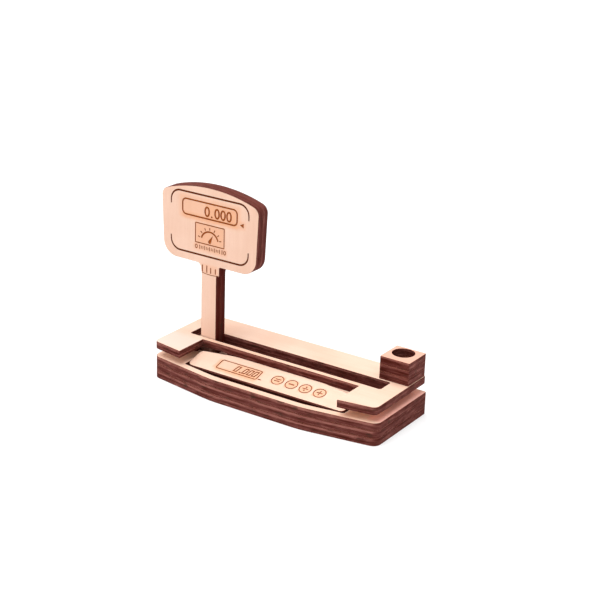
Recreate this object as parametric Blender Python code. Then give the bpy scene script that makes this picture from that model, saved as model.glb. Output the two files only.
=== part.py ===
"""Desk stand shaped like a weighing scale with a pole display.

It holds a pen upright and a stack of business cards on edge. It is cut from flat 4 mm board and
glued up from eleven pieces. Metres, +Z up. The origin is the middle of the base's underside,
+X runs along the base and -Y is the front.
"""

import math

import bmesh
import bpy

MM = 0.001

# Board stock, and the room around a tenon
SHEET = 3.7 * MM
GLUE_GAP = 0.3 * MM
SLIP = 0.3 * MM

# Base: three boards, with a front that bows out in three straight runs
BASE_WIDTH = 134.4 * MM
BASE_DEPTH = 53.5 * MM
FRONT_BOW = 6.5 * MM
BOW_FLAT = 54.0 * MM
BOW_BEND_RADIUS = 60.0 * MM
BASE_FRONT_RADIUS = 4.5 * MM
REAR_RADIUS = 1.0 * MM

# Control panel: it leans in a recess of the base's top board
LIP_WIDTH = 4.0 * MM
RECESS_SIDE_WALL = 19.4 * MM
PANEL_SIDE_CLEARANCE = 0.9 * MM
PANEL_DEPTH = 15.25 * MM
PANEL_BOW = 2.9 * MM
PANEL_SEAT = 0.8 * MM
PANEL_CORNER_RADIUS = 2.6 * MM

# Weighing pan, with a notch at the front and a long opening behind a narrow strip
PAN_SIDE_INSET = 0.75 * MM
PAN_FRONT_INSET = 0.4 * MM
PAN_REAR_OVERHANG = 0.6 * MM
PAN_LEFT_SHIFT = 0.6 * MM
PAN_FRONT_RADIUS = 3.2 * MM
PAN_CUT_SHIFT = 0.7 * MM
ARM_WIDTH = 19.15 * MM
NOTCH_DEPTH = 23.05 * MM
STRIP_WIDTH = 2.85 * MM
OPENING_END_WEB = 8.85 * MM
OPENING_DEPTH = 9.9 * MM
CUT_CORNER_RADIUS = 1.2 * MM

# Spacer that carries the pan above the base
SPACER_SIDE_INSET = 4.2 * MM
SPACER_REAR_INSET = 5.0 * MM
SPACER_SETBACK = 0.5 * MM

# Trough in the base's top board, which takes the lower edge of the cards
TROUGH_STEP = 3.6 * MM
TROUGH_POLE_WEB = 4.2 * MM

# Pen block: square boards with one hole
BLOCK_SIDE = 16.6 * MM
BLOCK_SIDE_INSET = 0.4 * MM
BLOCK_REAR_INSET = 0.3 * MM
BLOCK_CORNER_RADIUS = 0.6 * MM
BLOCK_BOARDS = ("lower", "middle", "upper")
PEN_HOLE_DIAMETER = 11.4 * MM
PEN_HOLE_SHIFT_LEFT = 0.8 * MM
PEN_HOLE_SHIFT_BACK = 1.7 * MM

# Display: pole, neck and head in one outline, cut from two boards. The end gap is the room that
# the pan's opening leaves beside the pole. The neck widens evenly by its flare, apart from the front
# board's right side, where a collar steps out.
POLE_END_GAP = 6.65 * MM
POLE_WIDTH = 9.3 * MM
NECK_HEIGHT = 5.2 * MM
NECK_FLARE = 1.0 * MM
NECK_BEND_RADIUS = 8.0 * MM
NECK_FILLET_RADIUS = 2.6 * MM
COLLAR_STEP = 1.8 * MM
COLLAR_FILLET_RADIUS = 0.8 * MM
HEAD_BOTTOM_Z = 60.0 * MM
HEAD_HEIGHT = 40.5 * MM
HEAD_TOP_WIDTH = 60.4 * MM
HEAD_BOTTOM_WIDTH = 57.6 * MM
HEAD_CROWN_RADIUS = 86.0 * MM
HEAD_TOP_RADIUS = 4.5 * MM
HEAD_BOTTOM_RADIUS = 8.3 * MM
DISPLAY_BOARDS = ("front", "rear")

# Fineness of round edges
ARC_STEP = math.radians(15.0)
CROWN_SEGMENTS = 9
HOLE_SEGMENTS = 40
WELD_DISTANCE = 1e-6
SHARP_EDGE = math.radians(30.0)

# Each board's place in the stack, counted from the base's underside
PITCH = SHEET + GLUE_GAP
TENON_LEVEL = 1
TOP_BOARD_LEVEL = 2
SPACER_LEVEL = 3
PAN_LEVEL = 4
BLOCK_LEVEL = 5

# Places worked out from the sizes above
FRONT_Y = -BASE_DEPTH / 2
REAR_Y = BASE_DEPTH / 2
BOW_SLOPE = FRONT_BOW / (BASE_WIDTH / 2 - BOW_FLAT / 2)
RECESS_HALF = BASE_WIDTH / 2 - RECESS_SIDE_WALL
PAN_HALF = BASE_WIDTH / 2 - PAN_SIDE_INSET
PAN_X = -PAN_LEFT_SHIFT
PAN_FRONT_Y = FRONT_Y + PAN_FRONT_INSET
PAN_REAR_Y = REAR_Y + PAN_REAR_OVERHANG
STRIP_FRONT_Y = PAN_FRONT_Y + NOTCH_DEPTH
STRIP_REAR_Y = STRIP_FRONT_Y + STRIP_WIDTH
OPENING_REAR_Y = STRIP_REAR_Y + OPENING_DEPTH
CUTS_X = PAN_X - PAN_CUT_SHIFT
NOTCH_HALF = PAN_HALF - ARM_WIDTH
OPENING_LOW_X = CUTS_X - PAN_HALF + OPENING_END_WEB
OPENING_HIGH_X = CUTS_X + PAN_HALF - OPENING_END_WEB
POLE_X = OPENING_LOW_X + POLE_END_GAP + POLE_WIDTH / 2
POLE_FRONT_Y = STRIP_REAR_Y + GLUE_GAP
POLE_REAR_Y = POLE_FRONT_Y + len(DISPLAY_BOARDS) * PITCH - GLUE_GAP
BLOCK_X = PAN_X + PAN_HALF - BLOCK_SIDE_INSET - BLOCK_SIDE / 2
BLOCK_Y = PAN_REAR_Y - BLOCK_REAR_INSET - BLOCK_SIDE / 2

# The panel's lower front edge stands on the middle board, and its underside passes just over the
# recess's rear edge. The span runs between those two edges.
PANEL_SPAN = math.hypot(PANEL_DEPTH - PANEL_SEAT, GLUE_GAP)
PANEL_SPAN_SLOPE = math.asin(SHEET / PANEL_SPAN)
PANEL_TILT = PANEL_SPAN_SLOPE + math.asin(GLUE_GAP / PANEL_SPAN)
PANEL_FRONT_Y = STRIP_FRONT_Y - PANEL_SPAN * math.cos(PANEL_SPAN_SLOPE)

PALE_WOOD = (0.83, 0.62, 0.46, 1.0)
WOOD_ROUGHNESS = 0.62


def clear_scene():
    for obj in list(bpy.data.objects):
        bpy.data.objects.remove(obj, do_unlink=True)


def level_z(level):
    """Underside of the board that lies on this many others."""
    return level * PITCH


def wood(name):
    material = bpy.data.materials.new(name)
    material.use_nodes = True
    shader = material.node_tree.nodes["Principled BSDF"]
    shader.inputs["Base Color"].default_value = PALE_WOOD
    shader.inputs["Roughness"].default_value = WOOD_ROUGHNESS
    shader.inputs["Metallic"].default_value = 0.0
    material.diffuse_color = PALE_WOOD
    return material


def rounded(corners):
    """A closed outline's points: each corner (x, y, radius) becomes an arc of that radius."""
    points = []
    count = len(corners)
    for index, (x, y, radius) in enumerate(corners):
        before = corners[index - 1]
        after = corners[(index + 1) % count]
        if radius <= 0:
            points.append((x, y))
            continue
        heading_in = math.atan2(y - before[1], x - before[0])
        heading_out = math.atan2(after[1] - y, after[0] - x)
        turn = (heading_out - heading_in + math.pi) % (2 * math.pi) - math.pi
        side = math.copysign(1.0, turn)
        reach = radius * math.tan(abs(turn) / 2)
        centre_x = x - reach * math.cos(heading_in) - side * radius * math.sin(heading_in)
        centre_y = y - reach * math.sin(heading_in) + side * radius * math.cos(heading_in)
        steps = max(2, math.ceil(abs(turn) / ARC_STEP))
        for step in range(steps + 1):
            heading = heading_in + turn * step / steps
            arc_x = centre_x + side * radius * math.sin(heading)
            arc_y = centre_y - side * radius * math.cos(heading)
            points.append((arc_x, arc_y))
    return points


def rectangle(x_low, x_high, y_low, y_high, radius):
    low_pair = [(x_low, y_low, radius), (x_high, y_low, radius)]
    high_pair = [(x_high, y_high, radius), (x_low, y_high, radius)]
    return rounded(low_pair + high_pair)


def circle(x, y, diameter):
    points = []
    for step in range(HOLE_SEGMENTS):
        angle = 2 * math.pi * step / HOLE_SEGMENTS
        arm = diameter / 2
        points.append((x + arm * math.cos(angle), y + arm * math.sin(angle)))
    return points


def bow_y(x):
    """How far the bowed front line lies behind its middle, x from the middle."""
    return max(0.0, abs(x) - BOW_FLAT / 2) * BOW_SLOPE


def bowed_front(middle_x, front_y, low_x, high_x, end_radius):
    """The corners of a front line that bows like the base's, from its low to its high end."""
    bend = BOW_FLAT / 2
    return [
        (low_x, front_y + bow_y(low_x - middle_x), end_radius),
        (middle_x - bend, front_y, BOW_BEND_RADIUS),
        (middle_x + bend, front_y, BOW_BEND_RADIUS),
        (high_x, front_y + bow_y(high_x - middle_x), end_radius),
    ]


def filled_curve(name, outline, holes):
    """A flat board as a filled curve, its middle layer in the curve's own plane."""
    curve = bpy.data.curves.new(name, "CURVE")
    curve.dimensions = "2D"
    curve.fill_mode = "BOTH"
    curve.extrude = SHEET / 2
    for points in [outline] + holes:
        spline = curve.splines.new("POLY")
        spline.points.add(len(points) - 1)
        for point, (x, y) in zip(spline.points, points):
            point.co = (x, y, 0.0, 1.0)
        spline.use_cyclic_u = True
    guide = bpy.data.objects.new(name + "_outline", curve)
    bpy.context.scene.collection.objects.link(guide)
    return guide


def board(name, outline, holes, parent, place, tilt=0.0):
    """A board of this outline and these holes: its underside at place, turned about X by tilt."""
    guide = filled_curve(name, outline, holes)
    x, y, z = place
    half = SHEET / 2
    guide.location = (x, y - half * math.sin(tilt), z + half * math.cos(tilt))
    guide.rotation_euler = (tilt, 0.0, 0.0)
    bpy.context.view_layer.update()
    graph = bpy.context.evaluated_depsgraph_get()
    mesh = bpy.data.meshes.new_from_object(guide.evaluated_get(graph))
    mesh.name = name
    welded = bmesh.new()
    welded.from_mesh(mesh)
    bmesh.ops.remove_doubles(welded, verts=welded.verts, dist=WELD_DISTANCE)
    bmesh.ops.recalc_face_normals(welded, faces=welded.faces)
    welded.to_mesh(mesh)
    welded.free()
    mesh.shade_smooth()
    mesh.set_sharp_from_angle(angle=SHARP_EDGE)
    mesh.materials.clear()
    mesh.materials.append(wood(name + "_wood"))
    obj = bpy.data.objects.new(name, mesh)
    obj.parent = parent
    obj.matrix_parent_inverse = parent.matrix_world.inverted()
    obj.matrix_world = guide.matrix_world.copy()
    collection.objects.link(obj)
    bpy.data.objects.remove(guide, do_unlink=True)


def holder(name, place, parent=None):
    """An empty that carries the boards of one sub-assembly."""
    empty = bpy.data.objects.new(name, None)
    empty.location = place
    empty.parent = parent
    collection.objects.link(empty)
    bpy.context.view_layer.update()
    return empty


def pole_mortise():
    half = POLE_WIDTH / 2 + SLIP
    front = POLE_FRONT_Y - SLIP
    rear = POLE_REAR_Y + SLIP
    return rectangle(POLE_X - half, POLE_X + half, front, rear, 0.0)


def panel_recess():
    half = RECESS_HALF
    radius = CUT_CORNER_RADIUS
    front = bowed_front(0.0, FRONT_Y + LIP_WIDTH, -half, half, radius)
    rear = [(half, STRIP_FRONT_Y, radius), (-half, STRIP_FRONT_Y, radius)]
    return rounded(front + rear)


def card_trough():
    low_x = POLE_X + POLE_WIDTH / 2 + SLIP + TROUGH_POLE_WEB
    low_y = STRIP_REAR_Y + TROUGH_STEP
    return rectangle(low_x, OPENING_HIGH_X, low_y, OPENING_REAR_Y, CUT_CORNER_RADIUS)


def make_base():
    base = holder("base", (0.0, 0.0, 0.0))
    half = BASE_WIDTH / 2
    front = bowed_front(0.0, FRONT_Y, -half, half, BASE_FRONT_RADIUS)
    rear = [(half, REAR_Y, REAR_RADIUS), (-half, REAR_Y, REAR_RADIUS)]
    outline = rounded(front + rear)
    middle_z = level_z(TENON_LEVEL)
    top_z = level_z(TOP_BOARD_LEVEL)
    top_holes = [panel_recess(), card_trough(), pole_mortise()]
    board("base_bottom_board", outline, [], base, (0.0, 0.0, 0.0))
    board("base_middle_board", outline, [pole_mortise()], base, (0.0, 0.0, middle_z))
    board("base_top_board", outline, top_holes, base, (0.0, 0.0, top_z))
    return base


def make_panel(base):
    half = RECESS_HALF - PANEL_SIDE_CLEARANCE
    bend = BOW_FLAT / 2
    shoulder = PANEL_DEPTH - PANEL_BOW
    radius = PANEL_CORNER_RADIUS
    front = [(-half, 0.0, radius), (half, 0.0, radius)]
    right = [(half, shoulder, radius), (bend, PANEL_DEPTH, BOW_BEND_RADIUS / 2)]
    left = [(-bend, PANEL_DEPTH, BOW_BEND_RADIUS / 2), (-half, shoulder, radius)]
    outline = rounded(front + right + left)
    place = (0.0, PANEL_FRONT_Y, level_z(TOP_BOARD_LEVEL))
    board("control_panel", outline, [], base, place, tilt=PANEL_TILT)


def make_spacer(base):
    """A frame open at the front: a bar behind the pan's opening, a leg up to the pole's left side
    and a leg at the opening's right end.
    """
    outer = PAN_HALF - SPACER_SIDE_INSET
    rear_y = REAR_Y - SPACER_REAR_INSET
    inner_low = OPENING_LOW_X + POLE_END_GAP - SLIP
    inner_high = OPENING_HIGH_X + SPACER_SETBACK
    bar_y = OPENING_REAR_Y + SPACER_SETBACK
    outline = rounded(
        [
            (PAN_X - outer, STRIP_FRONT_Y, 0.0),
            (inner_low, STRIP_FRONT_Y, 0.0),
            (inner_low, bar_y, CUT_CORNER_RADIUS),
            (inner_high, bar_y, CUT_CORNER_RADIUS),
            (inner_high, STRIP_FRONT_Y, 0.0),
            (PAN_X + outer, STRIP_FRONT_Y, 0.0),
            (PAN_X + outer, rear_y, REAR_RADIUS),
            (PAN_X - outer, rear_y, REAR_RADIUS),
        ]
    )
    board("pan_spacer", outline, [], base, (0.0, 0.0, level_z(SPACER_LEVEL)))


def make_pan(base):
    low_x = PAN_X - PAN_HALF
    high_x = PAN_X + PAN_HALF
    end_y = PAN_FRONT_Y + bow_y(PAN_HALF)
    notch_low = CUTS_X - NOTCH_HALF
    notch_high = CUTS_X + NOTCH_HALF
    outline = rounded(
        [
            (low_x, end_y, PAN_FRONT_RADIUS),
            (notch_low, PAN_FRONT_Y + bow_y(notch_low - PAN_X), 0.0),
            (notch_low, STRIP_FRONT_Y, 0.0),
            (notch_high, STRIP_FRONT_Y, 0.0),
            (notch_high, PAN_FRONT_Y + bow_y(notch_high - PAN_X), 0.0),
            (high_x, end_y, PAN_FRONT_RADIUS),
            (high_x, PAN_REAR_Y, REAR_RADIUS),
            (low_x, PAN_REAR_Y, REAR_RADIUS),
        ]
    )
    opening = rectangle(
        OPENING_LOW_X, OPENING_HIGH_X, STRIP_REAR_Y, OPENING_REAR_Y, CUT_CORNER_RADIUS
    )
    board("weighing_pan", outline, [opening], base, (0.0, 0.0, level_z(PAN_LEVEL)))


def make_pen_block(base):
    block = holder("pen_block", (BLOCK_X, BLOCK_Y, level_z(BLOCK_LEVEL)), base)
    half = BLOCK_SIDE / 2
    outline = rectangle(-half, half, -half, half, BLOCK_CORNER_RADIUS)
    hole = circle(-PEN_HOLE_SHIFT_LEFT, PEN_HOLE_SHIFT_BACK, PEN_HOLE_DIAMETER)
    for index, word in enumerate(BLOCK_BOARDS):
        place = (BLOCK_X, BLOCK_Y, level_z(BLOCK_LEVEL + index))
        board("pen_block_" + word + "_board", outline, [hole], block, place)


def flared_side():
    """One side of the display from the tenon to the head's lower corner, as the right side."""
    pole = POLE_WIDTH / 2
    return [
        (pole, level_z(TENON_LEVEL), 0.0),
        (pole, HEAD_BOTTOM_Z - NECK_HEIGHT, NECK_BEND_RADIUS),
        (pole + NECK_FLARE, HEAD_BOTTOM_Z, NECK_FILLET_RADIUS),
        (HEAD_BOTTOM_WIDTH / 2, HEAD_BOTTOM_Z, HEAD_BOTTOM_RADIUS),
    ]


def collared_side():
    """The same with a collar that steps out under the head."""
    pole = POLE_WIDTH / 2
    collar = pole + COLLAR_STEP
    collar_z = HEAD_BOTTOM_Z - NECK_HEIGHT
    return [
        (pole, level_z(TENON_LEVEL), 0.0),
        (pole, collar_z, 0.0),
        (collar, collar_z, 0.0),
        (collar, HEAD_BOTTOM_Z, COLLAR_FILLET_RADIUS),
        (HEAD_BOTTOM_WIDTH / 2, HEAD_BOTTOM_Z, HEAD_BOTTOM_RADIUS),
    ]


def display_outline(right_side):
    """Tenon, pole, neck and head, with the height as second coordinate."""
    high = HEAD_TOP_WIDTH / 2
    crown = []
    for step in range(CROWN_SEGMENTS + 1):
        x = high - 2 * high * step / CROWN_SEGMENTS
        drop = HEAD_CROWN_RADIUS - math.sqrt(HEAD_CROWN_RADIUS**2 - x**2)
        radius = HEAD_TOP_RADIUS if step in (0, CROWN_SEGMENTS) else 0.0
        crown.append((x, HEAD_BOTTOM_Z + HEAD_HEIGHT - drop, radius))
    left_side = [(-x, z, radius) for x, z, radius in reversed(flared_side())]
    return rounded(right_side + crown + left_side)


def make_display(base):
    display = holder("display", (POLE_X, POLE_FRONT_Y, level_z(TENON_LEVEL)), base)
    right_sides = {"front": collared_side(), "rear": flared_side()}
    for index, word in enumerate(DISPLAY_BOARDS):
        outline = display_outline(right_sides[word])
        rear_face_y = POLE_FRONT_Y + index * PITCH + SHEET
        name = "display_" + word + "_board"
        place = (POLE_X, rear_face_y, 0.0)
        board(name, outline, [], display, place, tilt=math.pi / 2)


clear_scene()
collection = bpy.data.collections.new("Scale_Pen_Stand")
bpy.context.scene.collection.children.link(collection)
base_group = make_base()
make_panel(base_group)
make_spacer(base_group)
make_pan(base_group)
make_pen_block(base_group)
make_display(base_group)
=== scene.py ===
"""Looks of the desk stand that is shaped like a weighing scale with a pole display.

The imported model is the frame. Each of its boards is made again here at its own place, with fine
arcs, chamfered rims, charred laser-cut edges and engraved lines. Metres, +Z up, -Y is the front.
"""

import math

import bmesh
import bpy
from mathutils import Matrix, Vector


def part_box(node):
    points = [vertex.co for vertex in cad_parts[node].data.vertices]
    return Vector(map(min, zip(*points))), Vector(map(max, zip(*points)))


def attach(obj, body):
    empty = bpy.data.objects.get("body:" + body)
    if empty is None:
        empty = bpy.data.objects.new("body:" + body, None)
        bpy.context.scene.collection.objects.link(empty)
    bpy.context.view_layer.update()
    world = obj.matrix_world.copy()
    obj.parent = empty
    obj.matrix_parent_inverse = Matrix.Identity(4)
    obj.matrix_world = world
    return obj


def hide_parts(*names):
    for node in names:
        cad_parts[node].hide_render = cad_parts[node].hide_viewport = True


MM = 0.001

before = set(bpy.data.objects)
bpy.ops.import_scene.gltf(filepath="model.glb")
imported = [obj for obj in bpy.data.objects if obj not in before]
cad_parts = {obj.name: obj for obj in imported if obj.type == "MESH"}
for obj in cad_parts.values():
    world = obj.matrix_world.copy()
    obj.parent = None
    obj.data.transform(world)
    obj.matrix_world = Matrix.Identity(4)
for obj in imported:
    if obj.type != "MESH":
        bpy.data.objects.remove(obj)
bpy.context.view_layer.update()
base_low, base_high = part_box("base_top_board")
panel_low, panel_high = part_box("control_panel")
pan_low, pan_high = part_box("weighing_pan")
block_low, block_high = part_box("pen_block_upper_board")
pole_low, pole_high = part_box("display_front_board")

# Board stock: a hair is left between two boards, so that no faces coincide
PITCH = 4.0 * MM
THICKNESS = 3.97 * MM
CAD_SHEET = pan_high.z - pan_low.z
RIM_CHAMFER = 0.12 * MM

# Heights of the lowest point of a piece, in boards above the desk
TENON_LEVEL = 1
PANEL_LEVEL = 2
SPACER_LEVEL = 3
PAN_LEVEL = 4
BLOCK_LEVEL = 5

# Base: three boards with a front that bows out in three straight runs
BASE_HALF = (base_high.x - base_low.x) / 2
FRONT_Y = base_low.y
REAR_Y = base_high.y
FRONT_BOW = 6.5 * MM
BOW_FLAT = 54.0 * MM
BOW_BEND_RADIUS = 60.0 * MM
BOW_SLOPE = FRONT_BOW / (BASE_HALF - BOW_FLAT / 2)
BASE_FRONT_RADIUS = 4.5 * MM
REAR_RADIUS = 1.0 * MM

# Weighing pan, with a notch at the front and a long opening behind a narrow strip
PAN_HALF = (pan_high.x - pan_low.x) / 2
PAN_X = (pan_high.x + pan_low.x) / 2
PAN_REAR_Y = pan_high.y
PAN_FRONT_INSET = 0.4 * MM
PAN_FRONT_Y = FRONT_Y + PAN_FRONT_INSET
PAN_FRONT_RADIUS = 3.2 * MM
CUTS_SHIFT = 0.7 * MM
CUTS_X = PAN_X - CUTS_SHIFT
ARM_WIDTH = 19.15 * MM
NOTCH_HALF = PAN_HALF - ARM_WIDTH
NOTCH_DEPTH = 23.05 * MM
STRIP_WIDTH = 2.85 * MM
STRIP_FRONT_Y = PAN_FRONT_Y + NOTCH_DEPTH
STRIP_REAR_Y = STRIP_FRONT_Y + STRIP_WIDTH
OPENING_END_WEB = 8.85 * MM
OPENING_LOW_X = CUTS_X - PAN_HALF + OPENING_END_WEB
OPENING_HIGH_X = CUTS_X + PAN_HALF - OPENING_END_WEB
OPENING_DEPTH = 9.9 * MM
OPENING_REAR_Y = STRIP_REAR_Y + OPENING_DEPTH
CUT_CORNER_RADIUS = 1.2 * MM

# Control panel, leaning in a recess of the base's top board
LIP_WIDTH = 4.0 * MM
RECESS_END_WEB = 19.4 * MM
RECESS_HALF = BASE_HALF - RECESS_END_WEB
PANEL_HALF = (panel_high.x - panel_low.x) / 2
PANEL_DEPTH = 15.25 * MM
PANEL_BOW = 2.9 * MM
# The panel's edge is painted black below this height, as painted shadow in the recess's gap
PANEL_SHADOW_HEIGHT = 2.85 * MM
PANEL_CORNER_RADIUS = 2.6 * MM
PANEL_TILT = math.radians(16.02)
PANEL_FRONT_Y = panel_low.y + CAD_SHEET * math.sin(PANEL_TILT)

# Spacer that carries the pan above the base
SPACER_SIDE_INSET = 4.2 * MM
SPACER_REAR_INSET = 5.0 * MM
SPACER_SETBACK = 0.5 * MM

# Display: pole, neck and head in one outline
POLE_X = (pole_low.x + pole_high.x) / 2
POLE_FRONT_Y = pole_low.y
POLE_WIDTH = 9.3 * MM
POLE_SLIP = 0.3 * MM
NECK_HEIGHT = 5.2 * MM
NECK_FLARE = 1.0 * MM
NECK_BEND_RADIUS = 8.0 * MM
NECK_FILLET_RADIUS = 2.6 * MM
COLLAR_STEP = 1.8 * MM
COLLAR_CORNER_RADIUS = 0.3 * MM
COLLAR_FILLET_RADIUS = 0.8 * MM
HEAD_BOTTOM_Z = 60.0 * MM
NECK_BOTTOM_Z = HEAD_BOTTOM_Z - NECK_HEIGHT
HEAD_TOP_Z = 100.5 * MM
HEAD_TOP_WIDTH = 60.4 * MM
HEAD_BOTTOM_WIDTH = 57.6 * MM
HEAD_CROWN_RADIUS = 86.0 * MM
HEAD_TOP_RADIUS = 4.5 * MM
HEAD_BOTTOM_RADIUS = 8.3 * MM
CROWN_SEGMENTS = 40
CROWN_CLEARANCE = 1.2 * HEAD_TOP_RADIUS

# Trough in the base's top board, under the pan's long opening
TROUGH_POLE_WEB = 4.2 * MM
TROUGH_SETBACK = 3.6 * MM
TROUGH_LOW_X = POLE_X + POLE_WIDTH / 2 + POLE_SLIP + TROUGH_POLE_WEB
TROUGH_LOW_Y = STRIP_REAR_Y + TROUGH_SETBACK

# Pen block: three square boards with one hole
BLOCK_X = (block_low.x + block_high.x) / 2
BLOCK_Y = (block_low.y + block_high.y) / 2
BLOCK_HALF = (block_high.x - block_low.x) / 2
BLOCK_CORNER_RADIUS = 0.6 * MM
PEN_HOLE_DIAMETER = 11.4 * MM
PEN_HOLE_X = -0.8 * MM
PEN_HOLE_Y = 1.7 * MM

# Engraving. On the display's front, places are x from the pole's middle, then the height. On the
# panel they are x, then the way up from its front edge. A name with LINE is a line's width.
ENGRAVE_DEPTH = 0.35 * MM

# Brackets round the head's face, and the share of their width that a tapered line ends in
BRACKET_HALF = 24.2 * MM
BRACKET_TOP_Z = 96.2 * MM
BRACKET_TOP_END_Z = 88.4 * MM
BRACKET_BOTTOM_Z = 64.3 * MM
BRACKET_BOTTOM_END_Z = 71.6 * MM
BRACKET_RADIUS = 5.6 * MM
BRACKET_LINE = 0.98 * MM
BRACKET_TAPER = 8.0 * MM
BRACKET_STEP = 1.5 * MM
TAPER_END = 0.65

# The head's window, its digits 0.000 and a pointer beside it
WINDOW = (0.1 * MM, 88.4 * MM)
WINDOW_HALF = (17.0 * MM, 4.1 * MM)
WINDOW_RADIUS = 2.3 * MM
WINDOW_LINE = 0.85 * MM
DIGIT_HALF = (1.75 * MM, 2.80 * MM)
DIGIT_LINE = 0.97 * MM
DIGITS_X = (-1.45 * MM, 4.76 * MM, 8.46 * MM, 12.15 * MM)
DIGITS_Z = 88.0 * MM
POINT_X = 1.45 * MM
POINT_HALF = 0.5 * MM
POINTER = (20.2 * MM, 85.2 * MM)
POINTER_TIP = 1.4 * MM
POINTER_BACK = 1.0 * MM
POINTER_HALF = 1.2 * MM

# The framed dial. Its arc's start and sweep are shares of half a turn.
GAUGE = (0.3 * MM, 75.9 * MM)
GAUGE_HALF = (9.0 * MM, 5.2 * MM)
GAUGE_RADIUS = 0.3 * MM
GAUGE_LINE = 0.55 * MM
DIAL_DROP = 3.6 * MM
DIAL_RADIUS = 5.3 * MM
DIAL_LINE = 0.9 * MM
DIAL_START = 0.08
DIAL_SWEEP = 0.84
DIAL_SEGMENTS = 24
DIAL_TICKS = 7
TICK_NEAR = 6.2 * MM
TICK_FAR = 7.5 * MM
TICK_LINE = 0.55 * MM
NEEDLE_LENGTH = 4.3 * MM
NEEDLE_HUB = 0.95 * MM
NEEDLE_ANGLE = math.radians(62.0)
NEEDLE_SEGMENTS = 24

# The graduation under it, from 0 to 10, with x from the dial's middle
SCALE_Z = 68.5 * MM
SCALE_STEP = 1.05 * MM
SCALE_LINE = 0.42 * MM
SCALE_TICKS = 13
SCALE_LONG_HALF = 1.1 * MM
SCALE_SHORT_HALF = 0.75 * MM
SCALE_LONG_EVERY = 3
SCALE_ZERO_X = -8.4 * MM
SCALE_TEN_X = (7.8 * MM, 9.4 * MM)
SCALE_DIGIT_HALF = (0.85 * MM, 1.2 * MM)
SCALE_DIGIT_LINE = 0.45 * MM
SCALE_ONE_HALF = 0.25 * MM

# Ribs under the head, each its x, low end and high end, and the line across the collar
RIBS = (
    (-4.1 * MM, 55.6 * MM, 59.3 * MM),
    (-1.3 * MM, 55.5 * MM, 59.4 * MM),
    (1.15 * MM, 55.5 * MM, 58.7 * MM),
    (4.1 * MM, 55.7 * MM, 58.6 * MM),
)
RIB_LINE = 0.62 * MM
RIB_END_RADIUS = RIB_LINE / 2.2
COLLAR_LINE = 0.40 * MM
COLLAR_LINE_INSET = 0.3 * MM
COLLAR_LINE_RISE = 0.45 * MM
COLLAR_LINE_DROOP = 0.55 * MM
COLLAR_LINE_SEGMENTS = 16

# The panel's window, digits and keys
PANEL_WINDOW = (-19.3 * MM, 7.0 * MM)
PANEL_WINDOW_HALF = (12.3 * MM, 3.4 * MM)
PANEL_WINDOW_RADIUS = 0.9 * MM
PANEL_WINDOW_LINE = 0.62 * MM
PANEL_DIGITS_X = (-20.4 * MM, -15.4 * MM, -12.4 * MM, -9.4 * MM)
PANEL_DIGIT_HALF = (1.2 * MM, 2.3 * MM)
PANEL_DIGIT_RADIUS = 0.35 * MM
PANEL_DIGIT_LINE = 0.68 * MM
PANEL_DIGIT_LEAN = 0.2
PANEL_POINT_X = -17.8 * MM
PANEL_POINT_DROP = 1.8 * MM
PANEL_MARK = (-5.2 * MM, 4.4 * MM)
PANEL_MARK_HALF = (1.0 * MM, 0.35 * MM)
KEYS_X = (3.65 * MM, 11.9 * MM, 20.1 * MM, 28.5 * MM)
KEYS_Y = 7.75 * MM
KEY_RADIUS = 3.45 * MM
KEY_LINE = 0.60 * MM
SIGN_LINE = 0.66 * MM
SIGN_HALF = 1.7 * MM
MINUS_LINE = 1.4 * SIGN_LINE
EQUALS_HALF = 1.6 * MM
EQUALS_RISE = 0.7 * MM
DIVIDE_RISE = 1.3 * MM

# Mesh making: arcs, how far a cutter stands proud, and how level a face or a wall has to be
ARC_STEP = math.radians(5.0)
HOLE_SEGMENTS = 96
RING_SEGMENTS = 48
DOT_SEGMENTS = 24
LEAST_RADIUS = 0.1 * MM
CUTTER_PROUD = 1.0 * MM
WELD_DISTANCE = 1e-6
IN_LINE = math.radians(0.3)
SHARP_EDGE = math.radians(30.0)
FACE_LIFT = 0.95
WALL_LIFT = 0.3

# Studio: a sky that is white at the horizon and greyer above, two wide soft lamps, and a floor that
# glows a little, so that it stays white and holds only a faint shadow
HORIZON_STRENGTH = 0.95
SKY_STRENGTH = 0.5
HORIZON_TOP = 0.25
OVERHEAD_STRENGTH = 3.40
FRONT_STRENGTH = 0.26
OVERHEAD_DIRECTION = (-0.22, -0.12, 1.0)
FRONT_DIRECTION = (-0.5, -1.0, 0.35)
OVERHEAD_SOFTNESS = math.radians(64.0)
FRONT_SOFTNESS = math.radians(60.0)
FLOOR_HALF = 6.0
FLOOR_DROP = 0.02 * MM
FLOOR_MOTTLE_SIZE = (0.6, 0.6, 0.6)
FLOOR_GLOW = 0.54
FLOOR_COLOUR = (0.47, 0.47, 0.47, 1.0)
FLOOR_COLOUR_LIGHT = (0.50, 0.50, 0.50, 1.0)

# Camera: where it stands round the object, how high, and how it leans, then its distance from the
# point it is aimed at, and its shift to the right and up
CAMERA_AZIMUTH = math.radians(33.024)
CAMERA_ELEVATION = math.radians(21.173)
CAMERA_ROLL = math.radians(1.972)
CAMERA_DISTANCE = 743.27 * MM
CAMERA_RIGHT = 20.23 * MM
CAMERA_UP = 54.468 * MM
CAMERA_AIM = Vector((-0.6 * MM, -20.25 * MM, 0.0))
CAMERA_LENS = 90.0
CAMERA_SENSOR = 36.0
CAMERA_NEAR = 0.02
CAMERA_FAR = 20.0


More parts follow.
